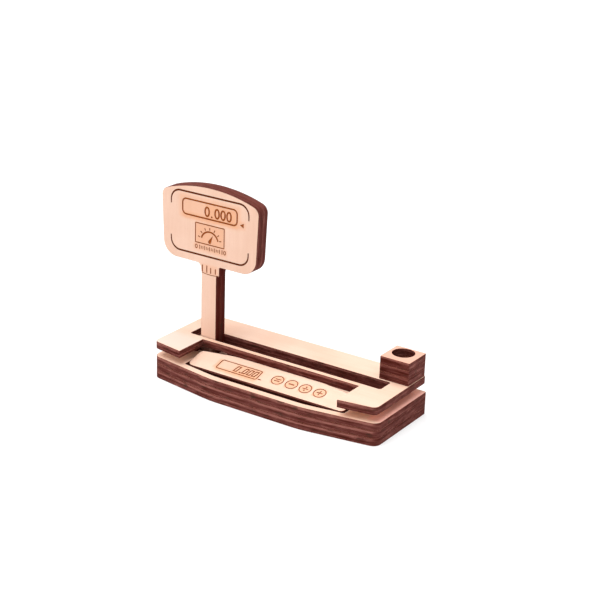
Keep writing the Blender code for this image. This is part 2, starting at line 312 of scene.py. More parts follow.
class Shader:
    """One material's node tree, built a step at a time. Places are the object's own metres."""

    def __init__(self, name):
        self.material = bpy.data.materials.new(name)
        self.material.use_nodes = True
        self.tree = self.material.node_tree
        self.surface = self.tree.nodes["Principled BSDF"]
        coordinates = self.add("ShaderNodeTexCoord")
        self.place = coordinates.outputs["Object"]
        self.normal = coordinates.outputs["Normal"]

    def add(self, kind):
        return self.tree.nodes.new(kind)

    def feed(self, value, socket):
        """Links a socket, or sets a plain number, vector or colour."""
        if isinstance(value, bpy.types.NodeSocket):
            self.tree.links.new(value, socket)
        else:
            socket.default_value = value

    def calc(self, operation, first, second=0.0, third=0.0):
        node = self.add("ShaderNodeMath")
        node.operation = operation
        for value, socket in zip((first, second, third), node.inputs):
            self.feed(value, socket)
        return node.outputs[0]

    def vector(self, operation, first, second=(0.0, 0.0, 0.0)):
        node = self.add("ShaderNodeVectorMath")
        node.operation = operation
        self.feed(first, node.inputs[0])
        self.feed(second, node.inputs[1])
        return node.outputs["Value" if operation == "LENGTH" else "Vector"]

    def parts(self, vector):
        node = self.add("ShaderNodeSeparateXYZ")
        self.feed(vector, node.inputs[0])
        return node.outputs

    def noise(self, size, seed, detail=3.0, roughness=0.5):
        """Noise from 0 to 1 with features about this long along each axis."""
        mapping = self.add("ShaderNodeMapping")
        self.feed(self.place, mapping.inputs["Vector"])
        mapping.inputs["Scale"].default_value = [1 / length for length in size]
        mapping.inputs["Location"].default_value = (seed, seed * 1.7, seed * 0.6)
        node = self.add("ShaderNodeTexNoise")
        self.feed(mapping.outputs[0], node.inputs["Vector"])
        node.inputs["Scale"].default_value = 1.0
        node.inputs["Detail"].default_value = detail
        node.inputs["Roughness"].default_value = roughness
        return node.outputs["Fac"]

    def ramp(self, value, low, high, to_low=0.0, to_high=1.0):
        """Maps low..high to to_low..to_high with soft ends."""
        node = self.add("ShaderNodeMapRange")
        node.interpolation_type = "SMOOTHSTEP"
        for number, socket in zip((value, low, high, to_low, to_high), node.inputs):
            self.feed(number, socket)
        return node.outputs[0]

    def curve(self, value, points):
        """A smooth tone through (place, tone) pairs, places from 0 to 1."""
        node = self.add("ShaderNodeValToRGB")
        node.color_ramp.interpolation = "EASE"
        elements = node.color_ramp.elements
        while len(elements) < len(points):
            elements.new(0.5)
        for element, (place, tone) in zip(elements, points):
            element.position = place
            element.color = (tone, tone, tone, 1.0)
        self.feed(value, node.inputs[0])
        return node.outputs[0]

    def blend(self, factor, first, second):
        """A number between two numbers."""
        node = self.add("ShaderNodeMix")
        node.data_type = "FLOAT"
        self.feed(factor, node.inputs["Factor"])
        self.feed(first, node.inputs["A"])
        self.feed(second, node.inputs["B"])
        return node.outputs["Result"]

    def mix(self, factor, first, second):
        node = self.add("ShaderNodeMix")
        node.data_type = "RGBA"
        self.feed(factor, node.inputs["Factor"])
        self.feed(first, node.inputs["A"])
        self.feed(second, node.inputs["B"])
        return node.outputs["Result"]

    def bump(self, height, distance):
        node = self.add("ShaderNodeBump")
        node.inputs["Distance"].default_value = distance
        self.feed(height, node.inputs["Height"])
        self.feed(node.outputs[0], self.surface.inputs["Normal"])

    def finish(self, colour, roughness):
        self.feed(colour, self.surface.inputs["Base Color"])
        self.feed(roughness, self.surface.inputs["Roughness"])
        return self.material


# Colours: bare plywood, stains on it, painted light and shade, charred edges, and burnt engraving
# with its lighter grain
PALE = (0.80, 0.530, 0.400, 1.0)
PALE_LIGHT = (0.84, 0.585, 0.455, 1.0)
PALE_DARK = (0.73, 0.450, 0.315, 1.0)
FLECK = (0.62, 0.345, 0.225, 1.0)
TAN = (0.72, 0.370, 0.270, 1.0)
SCORCH = (0.78, 0.360, 0.180, 1.0)
# Painted shade in the gap under the pan's strip, by the pole's foot
PAINTED_GAP_SHADE = (0.110, 0.026, 0.018, 1.0)
# Painted warm bounce light, for the shade under the pan
PAINTED_WARM_LIGHT = (0.94, 0.500, 0.420, 1.0)
# Painted light on the pan's left arm
PAINTED_CREAM_LIGHT = (0.80, 0.615, 0.525, 1.0)
SOOT = (0.045, 0.022, 0.013, 1.0)
CHAR_BLACK = (0.066, 0.009, 0.005, 1.0)
CHAR_BROWN = (0.146, 0.040, 0.033, 1.0)
CHAR_LIGHT = (0.305, 0.116, 0.092, 1.0)
# Red tint of painted reflected light on the pole's shaded edges
PAINTED_SHADE_MAROON = (0.080, 0.004, 0.001, 1.0)
# Painted shadow at the foot of the panel's edge
PAINTED_SHADOW_BLACK = (0.022, 0.002, 0.001, 1.0)
# Rim colours: laser toast, made dark enough to be painted shade in the grooves between boards too
TOAST = (0.11, 0.026, 0.014, 1.0)
TOAST_LIGHT = (0.24, 0.070, 0.038, 1.0)
DEEP_BURN = (0.105, 0.014, 0.003, 1.0)
DEEP_BURN_LIGHT = (0.185, 0.038, 0.009, 1.0)
LIGHT_BURN = (0.270, 0.055, 0.012, 1.0)
LIGHT_BURN_LIGHT = (0.430, 0.120, 0.030, 1.0)
FAINT_BURN = (0.290, 0.085, 0.028, 1.0)
FAINT_BURN_LIGHT = (0.430, 0.160, 0.060, 1.0)
KEY_BURN = (0.360, 0.115, 0.055, 1.0)
KEY_BURN_LIGHT = (0.500, 0.205, 0.105, 1.0)

# Shade of the display's edges: its sides at the head and its top, on each board, then how much
# darker the pole is painted as painted shade, how much its edges are tinted red as painted
# reflected light, and how far above the head's underside that ends
HEAD_SHADE = {"front": 0.12, "rear": 0.05}
HEAD_TOP_SHADE = {"front": 0.08, "rear": -0.02}
POLE_SHADE = 0.24
POLE_TINT = 0.62
POLE_FADE = 4 * MM

# Tone of a cut edge through the board, from its underside at 0 to its top at 1
SIDE_GRAIN_TONES = ((0.0, 0.46), (0.22, 0.50), (0.47, 0.32), (0.83, 0.90), (1.0, 0.60))
END_GRAIN_TONES = ((0.0, 0.40), (0.25, 0.52), (0.50, 0.58), (0.80, 0.38), (1.0, 0.44))

# Sizes of what a face shows: along its grain, across it, and through the board
FIBRE_SIZE = (16.0 * MM, 0.55 * MM, 0.55 * MM)
GRAIN_BAND_SIZE = (60 * MM, 3.5 * MM, 4 * MM)
FLECK_SIZE = (1.3 * MM, 0.22 * MM, 0.3 * MM)
BLOTCH_SIZE = (22 * MM, 22 * MM, 22 * MM)
FIBRE_RELIEF = 0.025 * MM

# Stained places on a face, and places of painted light and painted shade: how much their outline
# wanders, over what length, and how far from the place they start to fade
SPOT_WOBBLE = 1.2 * MM
SPOT_WOBBLE_SIZE = (2.5 * MM, 2.5 * MM, 2.5 * MM)
SPOT_CORE = 0.5 * MM

# Sizes of what a charred edge shows: in the board's plane twice, then through the board
PLY_WANDER = 1.0 * MM
PLY_WANDER_SIZE = (34 * MM, 34 * MM, 30 * MM)
STREAK_SIZE = (26 * MM, 26 * MM, 0.16 * MM)
EDGE_BAND_SIZE = (16 * MM, 16 * MM, 0.55 * MM)
PATCH_SIZE = (6 * MM, 6 * MM, 1.5 * MM)
SPECK_SIZE = (1.0 * MM, 1.0 * MM, 0.4 * MM)
SOOT_SIZE = (6 * MM, 6 * MM, 1.0 * MM)
RAY_SIZE = (0.25 * MM, 0.25 * MM, 6 * MM)
# How far the painted shadow at the foot of an edge fades
FOOT_FADE = 0.3 * MM
CHAR_RELIEF = 0.05 * MM
BURN_GRAIN_SIZE = (1.4 * MM, 0.5 * MM, 0.5 * MM)

# Noise seeds, so that no two boards have the same grain. Boards of one kind count on from theirs.
FACE_SEEDS = {
    "base": 11.0, "control_panel": 31.0, "pan_spacer": 41.0,
    "weighing_pan": 51.0, "pen_block": 61.0, "display": 81.0,
}
EDGE_SEEDS = {
    "base": 21.0, "control_panel": 33.0, "pan_spacer": 43.0,
    "weighing_pan": 53.0, "pen_block": 71.0, "display": 91.0,
}
EDGE_SEED_STEP = 3


def box_distance(shader, centre, half):
    """Distance on the face from a rectangle, nothing inside it."""
    flat = shader.vector("MULTIPLY", shader.place, (1.0, 1.0, 0.0))
    offset = shader.vector("SUBTRACT", flat, (centre[0], centre[1], 0.0))
    beyond = shader.vector("SUBTRACT", shader.vector("ABSOLUTE", offset), (half[0], half[1], 0.0))
    return shader.vector("LENGTH", shader.vector("MAXIMUM", beyond, (0.0, 0.0, 0.0)))


def along_grain(size, upright):
    """A size along the grain, across it and through the board, on the board's own axes."""
    along, across, through = size
    return (across, along, through) if upright else (along, across, through)


def pale_face(name, seed, upright=False, spots=(), tan=0.0):
    """A sanded birch face, with its grain along x, or along y on an upright board.

    A spot is (tint, centre, half sizes, reach, strength) of a place that fades over reach: a stain,
    painted light, or painted shade.
    """
    shader = Shader(name)
    fibre = shader.noise(along_grain(FIBRE_SIZE, upright), seed, detail=4.0, roughness=0.6)
    band = shader.noise(along_grain(GRAIN_BAND_SIZE, upright), seed + 3.1)
    blotch = shader.noise(BLOTCH_SIZE, seed + 5.7, detail=2.0)
    fleck = shader.noise(along_grain(FLECK_SIZE, upright), seed + 8.3, detail=1.0)
    colour = shader.mix(shader.ramp(blotch, 0.3, 0.7), PALE, PALE_LIGHT)
    colour = shader.mix(shader.ramp(band, 0.42, 0.72, 0.0, 0.26), colour, PALE_DARK)
    colour = shader.mix(shader.ramp(fibre, 0.45, 0.8, 0.0, 0.32), colour, PALE_DARK)
    colour = shader.mix(shader.ramp(fleck, 0.66, 0.74, 0.0, 0.35), colour, FLECK)
    if tan:
        colour = shader.mix(tan, colour, TAN)
    for tint, centre, half, reach, strength in spots:
        distance = box_distance(shader, centre, half)
        wobble = shader.noise(SPOT_WOBBLE_SIZE, seed + centre[0] * 100)
        uneven = shader.calc("MULTIPLY_ADD", wobble, SPOT_WOBBLE, distance)
        glow = shader.ramp(uneven, SPOT_CORE, reach + SPOT_WOBBLE / 2, strength, 0.0)
        colour = shader.mix(glow, colour, tint)
    shader.bump(fibre, FIBRE_RELIEF)
    shader.surface.inputs["Specular IOR Level"].default_value = 0.3
    return shader.finish(colour, shader.ramp(fibre, 0.3, 0.7, 0.50, 0.62))


def charred_edge(name, seed, shade=0.0, end_shade=0.0, contrast=1.0, upright=False, foot=0.0):
    """A laser-cut edge: plies of different tone, with streaks along them.

    Shade makes its walls along the grain darker, end_shade those across it, and contrast sets its
    plies and streaks further apart. An upright board's pole is painted darker and redder than its
    head, as painted shade with a red tint of painted reflected light. Below the height called foot,
    an edge is painted black, as painted shadow in the gap beneath it.

    The grain of the faces runs along x, or along y on an upright board, so that walls which face
    that way are cut across the grain, and look duller.
    """
    shader = Shader(name)
    place = shader.parts(shader.place)
    height, depth = place[1], place[2]
    wander = shader.noise(PLY_WANDER_SIZE, seed, detail=1.0)
    level = shader.calc("MULTIPLY_ADD", shader.calc("SUBTRACT", wander, 0.5), PLY_WANDER, depth)
    share = shader.calc("DIVIDE", level, PITCH)
    plies = shader.curve(share, SIDE_GRAIN_TONES)
    plies_across = shader.curve(share, END_GRAIN_TONES)
    facing = shader.calc("ABSOLUTE", shader.parts(shader.normal)[1 if upright else 0])
    across = shader.ramp(facing, 0.25, 0.95)
    streak = shader.noise(STREAK_SIZE, seed + 2.3, detail=3.0, roughness=0.55)
    band = shader.noise(EDGE_BAND_SIZE, seed + 3.7, detail=2.0)
    patch = shader.noise(PATCH_SIZE, seed + 4.9, detail=3.0)
    speck = shader.noise(SPECK_SIZE, seed + 5.3, detail=1.0)
    tone = shader.blend(across, plies, plies_across)
    tone = shader.calc("ADD", tone, shader.ramp(streak, 0.28, 0.72, -0.26, 0.24))
    tone = shader.calc("ADD", tone, shader.ramp(band, 0.3, 0.7, -0.16, 0.16))
    tone = shader.calc("ADD", tone, shader.ramp(patch, 0.3, 0.75, -0.18, 0.14))
    tone = shader.calc("SUBTRACT", tone, shader.ramp(speck, 0.64, 0.72, 0.0, 0.30))
    spread = shader.calc("SUBTRACT", tone, 0.5)
    tone = shader.calc("MULTIPLY_ADD", spread, contrast, 0.5)
    tone = shader.calc("SUBTRACT", tone, shader.blend(across, shade, end_shade))
    # Painted shade and a red tint of painted reflected light on the pole's edges, fading out at the
    # head
    if upright:
        pole = shader.ramp(height, NECK_BOTTOM_Z, HEAD_BOTTOM_Z + POLE_FADE, 1.0, 0.0)
        tone = shader.calc("MULTIPLY_ADD", pole, -POLE_SHADE, tone)
    colour = shader.mix(shader.ramp(tone, -0.15, 0.55), CHAR_BLACK, CHAR_BROWN)
    colour = shader.mix(shader.ramp(tone, 0.45, 1.15), colour, CHAR_LIGHT)
    if upright:
        colour = shader.mix(shader.calc("MULTIPLY", pole, POLE_TINT), colour, PAINTED_SHADE_MAROON)
    # Painted shadow: black on the edge below the foot's height, in the gap beneath it
    if foot:
        painted_shadow = shader.ramp(depth, foot - FOOT_FADE, foot + FOOT_FADE, 0.9, 0.0)
        colour = shader.mix(painted_shadow, colour, PAINTED_SHADOW_BLACK)
    soot = shader.noise(SOOT_SIZE, seed + 7.7, detail=2.0)
    colour = shader.mix(shader.ramp(soot, 0.57, 0.72, 0.0, 0.7), colour, SOOT)
    rays = shader.noise(RAY_SIZE, seed + 6.1, detail=2.0)
    shader.bump(shader.calc("MULTIPLY_ADD", streak, 1.4, rays), CHAR_RELIEF)
    shader.surface.inputs["Specular IOR Level"].default_value = 0.05
    return shader.finish(colour, shader.ramp(streak, 0.2, 0.8, 0.85, 0.68))


def plain_burn(name, dark, light, seed):
    """Burnt wood of an engraved line or a rim, between two colours."""
    shader = Shader(name)
    grain = shader.noise(BURN_GRAIN_SIZE, seed)
    shader.bump(grain, CHAR_RELIEF)
    shader.surface.inputs["Specular IOR Level"].default_value = 0.12
    return shader.finish(shader.mix(shader.ramp(grain, 0.3, 0.7), dark, light), 0.8)


def rounded(corners, closed=True):
    """A line's points: each corner (x, y, radius) becomes an arc of that radius."""
    points = []
    count = len(corners)
    for index, (x, y, radius) in enumerate(corners):
        open_end = not closed and index in (0, count - 1)
        if radius <= 0 or open_end:
            points.append((x, y))
            continue
        before = corners[index - 1]
        after = corners[(index + 1) % count]
        heading_in = math.atan2(y - before[1], x - before[0])
        heading_out = math.atan2(after[1] - y, after[0] - x)
        turn = (heading_out - heading_in + math.pi) % (2 * math.pi) - math.pi
        side = math.copysign(1.0, turn)
        reach = radius * math.tan(abs(turn) / 2)
        centre_x = x - reach * math.cos(heading_in) - side * radius * math.sin(heading_in)
        centre_y = y - reach * math.sin(heading_in) + side * radius * math.cos(heading_in)
        steps = max(2, math.ceil(abs(turn) / ARC_STEP))
        for step in range(steps + 1):
            heading = heading_in + turn * step / steps
            arc_x = centre_x + side * radius * math.sin(heading)
            arc_y = centre_y - side * radius * math.cos(heading)
            points.append((arc_x, arc_y))
    return points


def rectangle(x_low, x_high, y_low, y_high, radius=0.0):
    corners = ((x_low, y_low), (x_high, y_low), (x_high, y_high), (x_low, y_high))
    return rounded([(x, y, radius) for x, y in corners])


def box_around(centre, half, radius=0.0):
    x, y = centre
    return rectangle(x - half[0], x + half[0], y - half[1], y + half[1], radius)


def oval(x, y, half_x, half_y, segments=HOLE_SEGMENTS):
    points = []
    for step in range(segments):
        angle = 2 * math.pi * step / segments
        points.append((x + half_x * math.cos(angle), y + half_y * math.sin(angle)))
    return points


def bow_y(x):
    """How far the bowed front line lies behind its middle, x from the middle."""
    return max(0.0, abs(x) - BOW_FLAT / 2) * BOW_SLOPE


def bowed_front(front_y, half, end_radius):
    """The front line's corners from left to right, its middle at front_y."""
    bend = BOW_FLAT / 2
    end_y = front_y + bow_y(half)
    return [
        (-half, end_y, end_radius),
        (-bend, front_y, BOW_BEND_RADIUS),
        (bend, front_y, BOW_BEND_RADIUS),
        (half, end_y, end_radius),
    ]


def prism(name, outline, low_z, high_z):
    """A mesh between two heights with this outline, its top and its underside one face each."""
    work = bmesh.new()
    low_ring = [work.verts.new((x, y, low_z)) for x, y in outline]
    high_ring = [work.verts.new((x, y, high_z)) for x, y in outline]
    work.faces.new(low_ring[::-1])
    work.faces.new(high_ring)
    for index in range(len(outline)):
        after = (index + 1) % len(outline)
        work.faces.new((low_ring[index], low_ring[after], high_ring[after], high_ring[index]))
    mesh = bpy.data.meshes.new(name)
    work.to_mesh(mesh)
    work.free()
    return mesh


def flat_mesh(name, outline, holes, low_z, high_z):
    """A mesh between two heights with this outline and these holes."""
    if not holes:
        return prism(name, outline, low_z, high_z)
    curve = bpy.data.curves.new(name, "CURVE")
    curve.dimensions = "2D"
    curve.fill_mode = "BOTH"
    curve.extrude = (high_z - low_z) / 2
    for points in [outline, *holes]:
        spline = curve.splines.new("POLY")
        spline.points.add(len(points) - 1)
        for point, (x, y) in zip(spline.points, points):
            point.co = (x, y, 0.0, 1.0)
        spline.use_cyclic_u = True
    guide = bpy.data.objects.new(name, curve)
    bpy.context.scene.collection.objects.link(guide)
    graph = bpy.context.evaluated_depsgraph_get()
    mesh = bpy.data.meshes.new_from_object(guide.evaluated_get(graph))
    mesh.transform(Matrix.Translation((0.0, 0.0, (high_z + low_z) / 2)))
    bpy.data.objects.remove(guide, do_unlink=True)
    bpy.data.curves.remove(curve)
    return mesh


def chamfer_rims(mesh):
    """Welds the flat mesh and chamfers the rims between its faces and its edge.

    Faces take material 0, the edge takes 1 and the chamfered rims take 2.
    """
    work = bmesh.new()
    work.from_mesh(mesh)
    bmesh.ops.remove_doubles(work, verts=work.verts, dist=WELD_DISTANCE)
    bmesh.ops.dissolve_degenerate(work, dist=WELD_DISTANCE, edges=work.edges)
    bmesh.ops.recalc_face_normals(work, faces=work.faces)
    bmesh.ops.dissolve_limit(work, angle_limit=IN_LINE, verts=work.verts, edges=work.edges)
    rims = []
    for edge in work.edges:
        lifts = sorted(abs(face.normal.z) for face in edge.link_faces)
        if len(lifts) == 2 and lifts[0] < WALL_LIFT and lifts[1] > FACE_LIFT:
            rims.append(edge)
    bmesh.ops.bevel(work, geom=rims, offset=RIM_CHAMFER, offset_type="OFFSET", segments=1,
                    profile=0.5, affect="EDGES", clamp_overlap=False)
    for face in work.faces:
        lift = abs(face.normal.z)
        face.material_index = 0 if lift > FACE_LIFT else 1 if lift < WALL_LIFT else 2
    work.to_mesh(mesh)
    work.free()


def smooth_walls(mesh):
    """Shades upright walls smooth round their arcs, and keeps faces and chamfers flat."""
    work = bmesh.new()
    work.from_mesh(mesh)
    for face in work.faces:
        face.smooth = abs(face.normal.z) < WALL_LIFT
    for edge in work.edges:
        both_walls = len(edge.link_faces) == 2 and all(face.smooth for face in edge.link_faces)
        edge.smooth = both_walls and edge.calc_face_angle(math.pi) < SHARP_EDGE
    work.to_mesh(mesh)
    work.free()


def cutter(name, shapes, material):
    """One object from many flat shapes, each an outline with its holes, to engrave with."""
    work = bmesh.new()
    low_z = THICKNESS - ENGRAVE_DEPTH
    for outline, holes in shapes:
        mesh = flat_mesh(name, outline, holes, low_z, THICKNESS + CUTTER_PROUD)
        work.from_mesh(mesh)
        bpy.data.meshes.remove(mesh)
    bmesh.ops.remove_doubles(work, verts=work.verts, dist=WELD_DISTANCE)
    bmesh.ops.recalc_face_normals(work, faces=work.faces)
    mesh = bpy.data.meshes.new(name)
    work.to_mesh(mesh)
    work.free()
    mesh.materials.append(material)
    obj = bpy.data.objects.new(name, mesh)
    bpy.context.scene.collection.objects.link(obj)
    return obj


def board(node, outline, holes, place, face, edge, tilt=0.0, engraving=()):
    """One board in place of its CAD node: its underside at place, turned about X by tilt.

    Engraving is pairs of a burnt material and the shapes that it fills.
    """
    mesh = flat_mesh(node + "_finished", outline, holes, 0.0, THICKNESS)
    mesh.materials.clear()
    for material in (face, edge, rim_toast_and_shade):
        mesh.materials.append(material)
    chamfer_rims(mesh)
    piece = bpy.data.objects.new(node + "_finished", mesh)
    bpy.context.scene.collection.objects.link(piece)
    for burn, shapes in engraving:
        tool = cutter(node + "_" + burn.name, shapes, burn)
        cut = piece.modifiers.new("engrave", "BOOLEAN")
        cut.operation = "DIFFERENCE"
        cut.solver = "EXACT"
        cut.material_mode = "TRANSFER"
        cut.object = tool
        graph = bpy.context.evaluated_depsgraph_get()
        piece.data = bpy.data.meshes.new_from_object(piece.evaluated_get(graph))
        piece.modifiers.clear()
        bpy.data.objects.remove(tool, do_unlink=True)
    smooth_walls(piece.data)
    piece.matrix_world = Matrix.Translation(place) @ Matrix.Rotation(tilt, 4, "X")
    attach(piece, "root")
    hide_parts(node)


def stroke(path, width, taper=0.0):
    """A closed outline round an open line, narrower towards its ends over the taper's length."""
    lengths = [0.0]
    for before, after in zip(path, path[1:]):
        lengths.append(lengths[-1] + math.dist(before, after))
    left, right = [], []
    for index, (x, y) in enumerate(path):
        before = path[max(index - 1, 0)]
        after = path[min(index + 1, len(path) - 1)]
        heading = math.atan2(after[1] - before[1], after[0] - before[0])
        from_end = min(lengths[index], lengths[-1] - lengths[index])
        share = 1.0 if taper == 0 else TAPER_END + (1 - TAPER_END) * min(1.0, from_end / taper)
        reach = width / 2 * share
        left.append((x - reach * math.sin(heading), y + reach * math.cos(heading)))
        right.append((x + reach * math.sin(heading), y - reach * math.cos(heading)))
    return left[::-1] + right


def frame_line(centre, half, radius, width):
    """A rounded rectangle's line as an outline with one hole."""
    outer = (half[0] + width / 2, half[1] + width / 2)
    inner = (half[0] - width / 2, half[1] - width / 2)
    outside = box_around(centre, outer, radius + width / 2)
    inside = box_around(centre, inner, max(radius - width / 2, LEAST_RADIUS))
    return outside, [inside]


def ring(x, y, half_x, half_y, width):
    outside = oval(x, y, half_x, half_y, RING_SEGMENTS)
    inside = oval(x, y, half_x - width, half_y - width, RING_SEGMENTS)
    return outside, [inside]


def dot(x, y):
    return oval(x, y, POINT_HALF, POINT_HALF, DOT_SEGMENTS), []


def block_zero(x, y):
    """A leaning zero with square shoulders, as on the panel."""
    lines = []
    for inset in (0.0, PANEL_DIGIT_LINE):
        half = (PANEL_DIGIT_HALF[0] - inset, PANEL_DIGIT_HALF[1] - inset)
        corners = box_around((0.0, 0.0), half, PANEL_DIGIT_RADIUS)
        lines.append([(x + dx + PANEL_DIGIT_LEAN * dy, y + dy) for dx, dy in corners])
    return lines[0], [lines[1]]


def bar(x, y, half_x, half_y):
    return box_around((x, y), (half_x, half_y)), []


def split_path(path, spacing):
    """The same line with extra points, so that a taper has somewhere to bend."""
    points = [path[0]]
    for before, after in zip(path, path[1:]):
        steps = max(1, math.ceil(math.dist(before, after) / spacing))
        for step in range(1, steps + 1):
            share = step / steps
            x = before[0] + (after[0] - before[0]) * share
            y = before[1] + (after[1] - before[1]) * share
            points.append((x, y))
    return points


def head_brackets():
    """The two wide brackets that frame the head's face, above and below."""
    shapes = []
    top = (BRACKET_TOP_END_Z, BRACKET_TOP_Z)
    bottom = (BRACKET_BOTTOM_END_Z, BRACKET_BOTTOM_Z)
    for end_z, line_z in (top, bottom):
        corners = [
            (-BRACKET_HALF, end_z, 0.0),
            (-BRACKET_HALF, line_z, BRACKET_RADIUS),
            (BRACKET_HALF, line_z, BRACKET_RADIUS),
            (BRACKET_HALF, end_z, 0.0),
        ]
        path = split_path(rounded(corners, closed=False), BRACKET_STEP)
        shapes.append((stroke(path, BRACKET_LINE, BRACKET_TAPER), []))
    return shapes


def head_window():
    """The display's window with plain digits, and a plain pointer beside it."""
    shapes = [frame_line(WINDOW, WINDOW_HALF, WINDOW_RADIUS, WINDOW_LINE)]
    for x in DIGITS_X:
        shapes.append(ring(x, DIGITS_Z, *DIGIT_HALF, DIGIT_LINE))
    shapes.append(dot(POINT_X, DIGITS_Z - DIGIT_HALF[1] + POINT_HALF))
    x, z = POINTER
    back_x = x + POINTER_BACK
    pointer = [(x - POINTER_TIP, z), (back_x, z - POINTER_HALF), (back_x, z + POINTER_HALF)]
    shapes.append((pointer, []))
    return shapes


def needle(x, z, angle):
    """A dial's needle and hub in one drop-shaped outline."""
    open_angle = math.acos(NEEDLE_HUB / NEEDLE_LENGTH)
    points = [(x + NEEDLE_LENGTH * math.cos(angle), z + NEEDLE_LENGTH * math.sin(angle))]
    for step in range(NEEDLE_SEGMENTS + 1):
        turn = angle + open_angle + (2 * math.pi - 2 * open_angle) * step / NEEDLE_SEGMENTS
        points.append((x + NEEDLE_HUB * math.cos(turn), z + NEEDLE_HUB * math.sin(turn)))
    return points, []


def dial_point(x, z, reach, index, count):
    """A point on the dial's arc of this reach, from its right end at 0 to its left end at count."""
    angle = math.pi * (DIAL_START + DIAL_SWEEP * index / count)
    return x + reach * math.cos(angle), z + reach * math.sin(angle)


def head_gauge():
    """A plain framed dial with a needle, and a fine graduation under it that runs from 0 to 10."""
    shapes = [frame_line(GAUGE, GAUGE_HALF, GAUGE_RADIUS, GAUGE_LINE)]
    x, z = GAUGE[0], GAUGE[1] - DIAL_DROP
    arc = [dial_point(x, z, DIAL_RADIUS, step, DIAL_SEGMENTS) for step in range(DIAL_SEGMENTS + 1)]
    shapes.append((stroke(arc, DIAL_LINE), []))
    for index in range(DIAL_TICKS):
        near = dial_point(x, z, TICK_NEAR, index, DIAL_TICKS - 1)
        far = dial_point(x, z, TICK_FAR, index, DIAL_TICKS - 1)
        shapes.append((stroke([near, far], TICK_LINE), []))
    shapes.append(needle(x, z, NEEDLE_ANGLE))
    for index in range(SCALE_TICKS):
        tick_x = x + (index - SCALE_TICKS // 2) * SCALE_STEP
        half = SCALE_LONG_HALF if index % SCALE_LONG_EVERY == 0 else SCALE_SHORT_HALF
        shapes.append(bar(tick_x, SCALE_Z, SCALE_LINE / 2, half))
    one_x, zero_x = SCALE_TEN_X
    shapes.append(ring(x + SCALE_ZERO_X, SCALE_Z, *SCALE_DIGIT_HALF, SCALE_DIGIT_LINE))
    shapes.append(bar(x + one_x, SCALE_Z, SCALE_ONE_HALF, SCALE_DIGIT_HALF[1]))
    shapes.append(ring(x + zero_x, SCALE_Z, *SCALE_DIGIT_HALF, SCALE_DIGIT_LINE))
    return shapes


def collar_lines():
    """Short upright ribs under the head, and the drooping line below them."""
    shapes = []
    for x, low_z, high_z in RIBS:
        middle = (low_z + high_z) / 2
        half = (RIB_LINE / 2, (high_z - low_z) / 2)
        shapes.append((box_around((x, middle), half, RIB_END_RADIUS), []))
    low_x = -POLE_WIDTH / 2 + COLLAR_LINE_INSET
    high_x = POLE_WIDTH / 2 + COLLAR_STEP - COLLAR_LINE_INSET
    path = []
    for step in range(COLLAR_LINE_SEGMENTS + 1):
        share = step / COLLAR_LINE_SEGMENTS
        droop = COLLAR_LINE_DROOP * (1 - (2 * share - 1) ** 2)
        path.append((low_x + (high_x - low_x) * share, NECK_BOTTOM_Z + COLLAR_LINE_RISE - droop))
    shapes.append((stroke(path, COLLAR_LINE), []))
    return shapes


def panel_window():
    """The panel's window with plain digits, and a small bar beside it."""
    shapes = [frame_line(PANEL_WINDOW, PANEL_WINDOW_HALF, PANEL_WINDOW_RADIUS, PANEL_WINDOW_LINE)]
    for x in PANEL_DIGITS_X:
        shapes.append(block_zero(x, PANEL_WINDOW[1]))
    point_y = PANEL_WINDOW[1] - PANEL_POINT_DROP
    shapes.append(bar(PANEL_POINT_X, point_y, POINT_HALF, POINT_HALF))
    shapes.append(bar(*PANEL_MARK, *PANEL_MARK_HALF))
    return shapes


def panel_keys():
    """Four round keys with plain signs: equals, minus, divide and plus."""
    shapes = []
    for x in KEYS_X:
        shapes.append(ring(x, KEYS_Y, KEY_RADIUS, KEY_RADIUS, KEY_LINE))
    equals, minus, divide, plus = KEYS_X
    for rise in (-EQUALS_RISE, EQUALS_RISE):
        shapes.append(bar(equals, KEYS_Y + rise, EQUALS_HALF, SIGN_LINE / 2))
    shapes.append(bar(minus, KEYS_Y, SIGN_HALF, MINUS_LINE / 2))
    shapes.append(bar(divide, KEYS_Y, SIGN_HALF, SIGN_LINE / 2))
    for rise in (-DIVIDE_RISE, DIVIDE_RISE):
        shapes.append(dot(divide, KEYS_Y + rise))
    stem = SIGN_LINE / 2
    quarter = [(stem, stem), (stem, SIGN_HALF), (-stem, SIGN_HALF)]
    cross = []
    for turns in range(4):
        for x, y in quarter:
            for _ in range(turns):
                x, y = -y, x
            cross.append((plus + x, KEYS_Y + y))
    shapes.append((cross, []))
    return shapes


def board_looks(kind, name, level=0, upright=False, spots=(), tan=0.0, **edge_look):
    """A board's two materials, of its faces and of its charred edges."""
    face = pale_face("face_" + name, FACE_SEEDS[kind] + level, upright, spots, tan)
    edge_seed = EDGE_SEEDS[kind] + EDGE_SEED_STEP * level
    edge = charred_edge("edge_" + name, edge_seed, upright=upright, **edge_look)
    return face, edge


